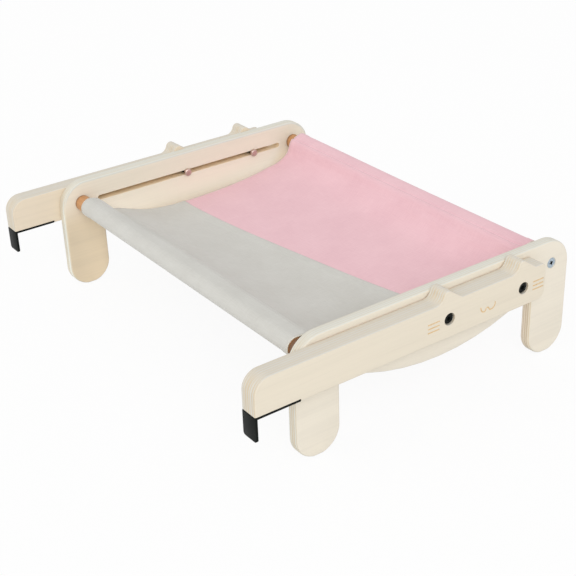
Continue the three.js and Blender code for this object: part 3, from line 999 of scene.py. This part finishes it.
def beech():
    finish, shader, where = material("oiled beech", 0.5)
    grain = where.stretched((14, 260, 260)).noise(1.0, 4.0, 0.6)
    flecks = where.stretched((110, 1300, 1300)).noise(1.0, 1.0).ramp(0.66, 0.74)
    colour = (grain.ramp(0.35, 0.75) * 0.7 + flecks * 0.3).blended(beech_light, beech_dark)
    x = where.parts()[0]
    # A darker ring beside each panel, partly stain and partly painted shade, and painted shadow on the bare
    # right ends.
    stain_and_shade = abs(x).ramp(*end_stain_and_shade_places)
    shaded = x.ramp(*bare_end_shadow_places)
    colour = (stain_and_shade * 0.55 + shaded * 0.85).blended(colour, beech_stain_and_shade)
    feed(finish, shader, Base_Color=colour, Normal=(grain + flecks * 0.5).bump(0.2, beech_relief))
    return finish


dowel_finish = beech()
for end, y in zip(("front", "rear"), dowel_places):
    half = [(dowel_radius, half_dowel - dowel_chamfer), (dowel_radius - dowel_chamfer, half_dowel),
            (pocket_radius, half_dowel), (pocket_radius, half_dowel - pocket_depth),
            (0, half_dowel - pocket_depth)]
    dowel = turned("dowel_" + end, [(radius, -height) for radius, height in reversed(half)] + half)
    placed(dowel, (0, y, axis_height), (0, 90, 0))
    dowel.data.materials.append(dowel_finish)
    smooth(dowel)
    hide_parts(end + "_dowel")
    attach(dowel, "frame")


# The canvas sling. Heavy cotton in two colours, cut 396 mm wide. Each half is sewn into a sleeve for its
# dowel, and the grey half overlaps the pink one along a slanting seam. It is cut flat here, then wrapped
# along its route, which is given at the left edge and at the right.
cloth_thickness = 0.0009
sleeve_gap = 0.0001
sleeve_radius = dowel_radius + sleeve_gap + cloth_thickness / 2
left_front = Vector((0.0084, 0.0087))
left_front_slack = 0.0010
left_rear = Vector((0.0124, 0.0092))
left_rear_slack = 0.0043
left_sling = ((0.0380, 0.1074), (0.0464, 0.0989), (0.0514, 0.0925), (0.0575, 0.0909), (0.0750, 0.0850),
              (0.1000, 0.0776), (0.1340, 0.0740), (0.1700, 0.0740), (0.2080, 0.0757), (0.2460, 0.0798),
              (0.2680, 0.0839), (0.2820, 0.0863), (0.2945, 0.0917), (0.3012, 0.0982))
right_sewn = Vector((0.0137, 0.0090))
right_rear_slack = 0.0028
right_sling = ((0.0418, 0.1066), (0.0480, 0.0996), (0.0538, 0.0938), (0.0630, 0.0886), (0.0800, 0.0823),
               (0.1030, 0.0768), (0.1340, 0.0741), (0.1700, 0.0750), (0.2080, 0.0772), (0.2460, 0.0799),
               (0.2700, 0.0828), (0.2820, 0.0873), (0.2920, 0.0953), (0.2995, 0.1036))
front_lean = 55
rear_lean = 105
section_change = (-0.08, 0.24)  # where the left route turns into the right one, and how wide that is
seam_places = (0.1475, 0.2040)
seam_bow = 0.0082
bow_power = 3
seam_overlap = 0.010
seam_rise_width = 0.005
seam_fall = (0.0006, 0.0012)  # how far past the seam the pink half goes under, and how wide that step is
hem_width = 0.010
fold_rise = 0.0005
stitch_depth = 0.0010
stitch_width = 0.0011
stitched_under_share = 1.2
sewn_under_share = 1.3
sleeve_steps = 110
sling_steps = 30
canvas_columns = 132
canvas_rows = 240


def sleeve_route(axis, facing, sewn, slack, lean):
    """Once round a dowel: from the stitching, round below and behind it, and back over the stitching. The
    cloth stands off the dowel by its slack on one side, most of all lean degrees up from the sling."""
    spread = math.acos(sleeve_radius / sewn.length)
    towards = math.atan2(sewn.y, sewn.x)
    points = [(sewn.x, sewn.y - stitched_under_share * cloth_thickness)]
    first, last = towards - spread, towards + spread - 2 * math.pi
    for i in range(sleeve_steps + 1):
        angle = first + (last - first) * i / sleeve_steps
        radius = sleeve_radius + slack * max(0.0, math.cos(angle - math.radians(lean))) ** 2
        points.append((radius * math.cos(angle), radius * math.sin(angle)))
    points.append(tuple(sewn))
    return [Vector((axis + facing * aside, axis_height + above)) for aside, above in points]


def smooth_route(points):
    """A Catmull-Rom curve through points, as a fine list of points."""
    found = []
    for i in range(1, len(points) - 2):
        before, start, end, after = points[i - 1:i + 3]
        for k in range(sling_steps):
            t = k / sling_steps
            straight = 2 * start + (end - before) * t
            bend = (2 * before - 5 * start + 4 * end - after) * t * t
            found.append(0.5 * (straight + bend + (3 * start - before - 3 * end + after) * t ** 3))
    return found + [points[-2]]


def route_of(front_sewn, front_slack, shape, rear_sewn, rear_slack):
    """The cloth's section: round the front dowel, down through the sling and round the rear dowel."""
    front_sleeve = sleeve_route(dowel_places[0], 1, front_sewn, front_slack, front_lean)
    rear_sleeve = sleeve_route(dowel_places[1], -1, rear_sewn, rear_slack, rear_lean)[::-1]
    sling_points = [Vector((front + y, z)) for y, z in shape]
    sag = smooth_route(front_sleeve[-2:] + sling_points + rear_sleeve[:2])
    return front_sleeve[:-1] + sag[1:] + rear_sleeve[1:]


left_route = route_of(left_front, left_front_slack, left_sling, left_rear, left_rear_slack)
right_route = route_of(right_sewn, 0.0, right_sling, right_sewn, right_rear_slack)
along_route = [0.0]
for start, end in zip(right_route, right_route[1:]):
    along_route.append(along_route[-1] + (end - start).length)
sleeve_end = sleeve_steps + 2
sling_length = along_route[-1]
sleeve_length = along_route[sleeve_end]
sling_run = [point.x for point in right_route[sleeve_end:-sleeve_end]]


def step_up(value, place, width):
    """0 well below a place, 1 well above it, and a soft step between them."""
    share = min(max((value - place) / width + 0.5, 0), 1)
    return share * share * (3 - 2 * share)


def on_route(aside, length):
    """The place at a length along the route, between the left edge's section and the right-hand one."""
    length = min(max(length, 0.0), sling_length)
    i = min(max(bisect.bisect_right(along_route, length) - 1, 0), len(right_route) - 2)
    share = (length - along_route[i]) / (along_route[i + 1] - along_route[i])
    left = left_route[i].lerp(left_route[i + 1], share)
    right = right_route[i].lerp(right_route[i + 1], share)
    return left.lerp(right, step_up(aside, *section_change))


def lying(aside, length, reach=0.0012):
    """The place and the upward direction at a length along the route."""
    ahead = on_route(aside, length + reach) - on_route(aside, length - reach)
    return on_route(aside, length), Vector((-ahead.y, ahead.x)).normalized()


def seam_at(aside):
    """Where along the route the seam crosses, at a place across the sling."""
    share = (aside + cloth_half_width) / (2 * cloth_half_width)
    bow = seam_bow * (1 - abs(2 * share - 1) ** bow_power)
    y = front + seam_places[0] + (seam_places[1] - seam_places[0]) * share - bow
    i = sleeve_end + bisect.bisect_right(sling_run, y) - 1
    return along_route[i] + (y - right_route[i].x)


# Soft folds in the sling, in metres: where each starts and ends, across the sling and from the stitching of
# the nearer sleeve, how wide it is and how high it stands.
front_folds = (
    (-0.200, 0.022, -0.040, 0.070, 0.0034, -0.0015),
    (-0.200, 0.020, -0.080, 0.058, 0.0032, 0.0010),
    (-0.195, 0.022, 0.020, 0.046, 0.0030, -0.0014),
    (-0.190, 0.018, 0.050, 0.034, 0.0028, 0.0011),
    (-0.180, 0.018, 0.110, 0.026, 0.0026, -0.0012),
    (-0.120, 0.020, 0.150, 0.032, 0.0026, 0.0008),
    (-0.100, 0.006, 0.180, 0.014, 0.0040, -0.0007),
    (-0.020, 0.016, 0.200, 0.030, 0.0060, 0.0006),
    (0.200, 0.008, 0.110, 0.040, 0.0050, -0.0007),
)
rear_folds = (
    (-0.190, 0.010, -0.060, 0.034, 0.0060, 0.0006),
    (0.200, 0.012, 0.090, 0.040, 0.0060, -0.0007),
    (0.120, 0.020, -0.040, 0.016, 0.0060, 0.0004),
)


def fold_height(aside, length, folds):
    """How high the folds stand at a place. Each one widens along its run and fades out at both ends."""
    height = 0.0
    for start_x, start_y, end_x, end_y, width, rise in folds:
        run_x, run_y = end_x - start_x, end_y - start_y
        run = math.hypot(run_x, run_y)
        share = ((aside - start_x) * run_x + (length - start_y) * run_y) / run ** 2
        off = abs((aside - start_x) * run_y - (length - start_y) * run_x) / run
        spread = width * (0.6 + 0.8 * min(max(share, 0), 1))
        fade = max(0.0, 1 - max(0.0, share) ** 2) * step_up(share, 0.0, 0.3)
        height += rise * fade * math.exp(-(off / spread) ** 2)
    return height


def wrapped(name, low, high, rise):
    """Half the sling: a flat grid whose rows run from low(aside) to high(aside), wrapped along the route."""
    bpy.ops.object.select_all(action="DESELECT")
    bpy.ops.mesh.primitive_grid_add(x_subdivisions=canvas_columns, y_subdivisions=canvas_rows, size=2)
    canvas = bpy.context.object
    canvas.name = name
    cut_flat = {}
    for vertex in canvas.data.vertices:
        aside = vertex.co.x * cloth_half_width
        share = (vertex.co.y + 1) / 2
        length = low(aside) + (high(aside) - low(aside)) * share
        place, out = lying(aside, length)
        place = place + out * rise(aside, length)
        cut_flat[vertex.index] = (aside, length)
        vertex.co = (aside, place.x, place.y)
    layer = canvas.data.uv_layers.active
    for loop in canvas.data.loops:
        layer.data[loop.index].uv = cut_flat[loop.vertex_index]
    modified(canvas, "SOLIDIFY", thickness=cloth_thickness, offset=0.0, use_even_offset=False)
    bpy.ops.object.shade_smooth()
    return canvas


def hem_rise(aside):
    """The cloth is double along its two hems."""
    return fold_rise * step_up(abs(aside), cloth_half_width - hem_width, cloth_thickness)


def stitch_dip(length):
    """How far the stitching draws the cloth in, at a length from its line."""
    return -stitch_depth * math.exp(-(length / stitch_width) ** 2)


def grey_rise(aside, length):
    seam = fold_rise * step_up(length, seam_at(aside) - seam_overlap, seam_rise_width)
    stitch = stitch_dip(length - sleeve_length)
    return hem_rise(aside) + seam + stitch + fold_height(aside, length - sleeve_length, front_folds)


def pink_rise(aside, length):
    covered = 1 - step_up(length, seam_at(aside) + seam_fall[0], seam_fall[1])
    under = -sewn_under_share * cloth_thickness * covered
    rear_start = sling_length - sleeve_length
    stitch = stitch_dip(length - rear_start)
    folds = fold_height(aside, rear_start - length, rear_folds)
    return hem_rise(aside) + under + stitch + folds + fold_height(aside, length - sleeve_length, front_folds)


weave_pitch = 0.0014
weave_relief = 0.00012
# A painted highlight along the cloth's two edges.
rim_highlight_places = (cloth_half_width - 0.0012, cloth_half_width - 0.0004)
rim_highlight = linear(244, 240, 228)
# Where the painted shade beside the right-hand panel lies.
panel_shade_places = (0.120, cloth_half_width)
panel_shade_run = 0.15
grey_light = linear(212, 211, 205)
grey_dark = linear(198, 196, 189)
# Where along the cloth the painted shade beside the panel starts, for each colour.
grey_shade_start = 0.055
pink_light = linear(240, 200, 206)
pink_dark = linear(228, 184, 192)
pink_shade_start = 0.270


def canvas_finish(name, colour, shade, shade_start):
    """Woven cotton, with painted shade beside the right-hand panel from a length along the cloth onwards."""
    finish, shader, where = material(name, 0.86)
    shader.inputs["Sheen Weight"].default_value = 0.25
    shader.inputs["Sheen Roughness"].default_value = 0.5
    shader.inputs["Specular IOR Level"].default_value = 0.25
    flat = where.make("ShaderNodeUVMap", {"uv_map": "UVMap"}, {})
    across, along, _ = flat.parts()
    turn = 2 * math.pi / weave_pitch
    warp = across.maths("SINE", across * turn)
    weft = along.maths("SINE", along * turn)
    weave = (warp * weft) * 0.5 + 0.5
    slub_warp = flat.stretched((70, 1500, 1)).noise(1.0, 2.0)
    slub_weft = flat.stretched((1500, 70, 1)).noise(1.0, 2.0)
    slubs = slub_warp * 0.5 + slub_weft * 0.5
    clouds = flat.noise(24, 3.0)
    # Painted shade beside the right-hand panel.
    panel_shade = across.ramp(*panel_shade_places) * along.ramp(shade_start, shade_start + panel_shade_run)
    tone = slubs.ramp(0.35, 0.65) * 0.5 + clouds.ramp(0.3, 0.7) * 0.3 + weave * 0.2 + panel_shade * 0.6
    tone = tone.blended(colour, shade)
    # A painted highlight along the cloth's edges.
    rim = abs(across).ramp(*rim_highlight_places)
    feed(finish, shader, Base_Color=(rim * 0.6).blended(tone, rim_highlight),
         Normal=(weave * 0.7 + slubs * 0.6).bump(0.35, weave_relief))
    return finish


grey_canvas = wrapped("canvas_grey", lambda aside: 0.0, seam_at, grey_rise)
pink_canvas = wrapped("canvas_pink", lambda aside: seam_at(aside) - seam_overlap, lambda aside: sling_length,
                      pink_rise)
grey_canvas.data.materials.append(canvas_finish("grey canvas", grey_light, grey_dark, grey_shade_start))
pink_canvas.data.materials.append(canvas_finish("pink canvas", pink_light, pink_dark, pink_shade_start))
grey_lengths = (seam_at(-cloth_half_width), seam_at(cloth_half_width))
width = 2 * cloth_half_width
bowed = seam_bow * bow_power / (bow_power + 1)
width * (sum(grey_lengths) / 2 - bowed)
pink_lengths = [sling_length - length + seam_overlap for length in grey_lengths]
width * (sum(pink_lengths) / 2 + bowed)
for piece, colour in ((grey_canvas, "grey"), (pink_canvas, "pink")):
    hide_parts(colour + "_canvas")
    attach(piece, "frame")
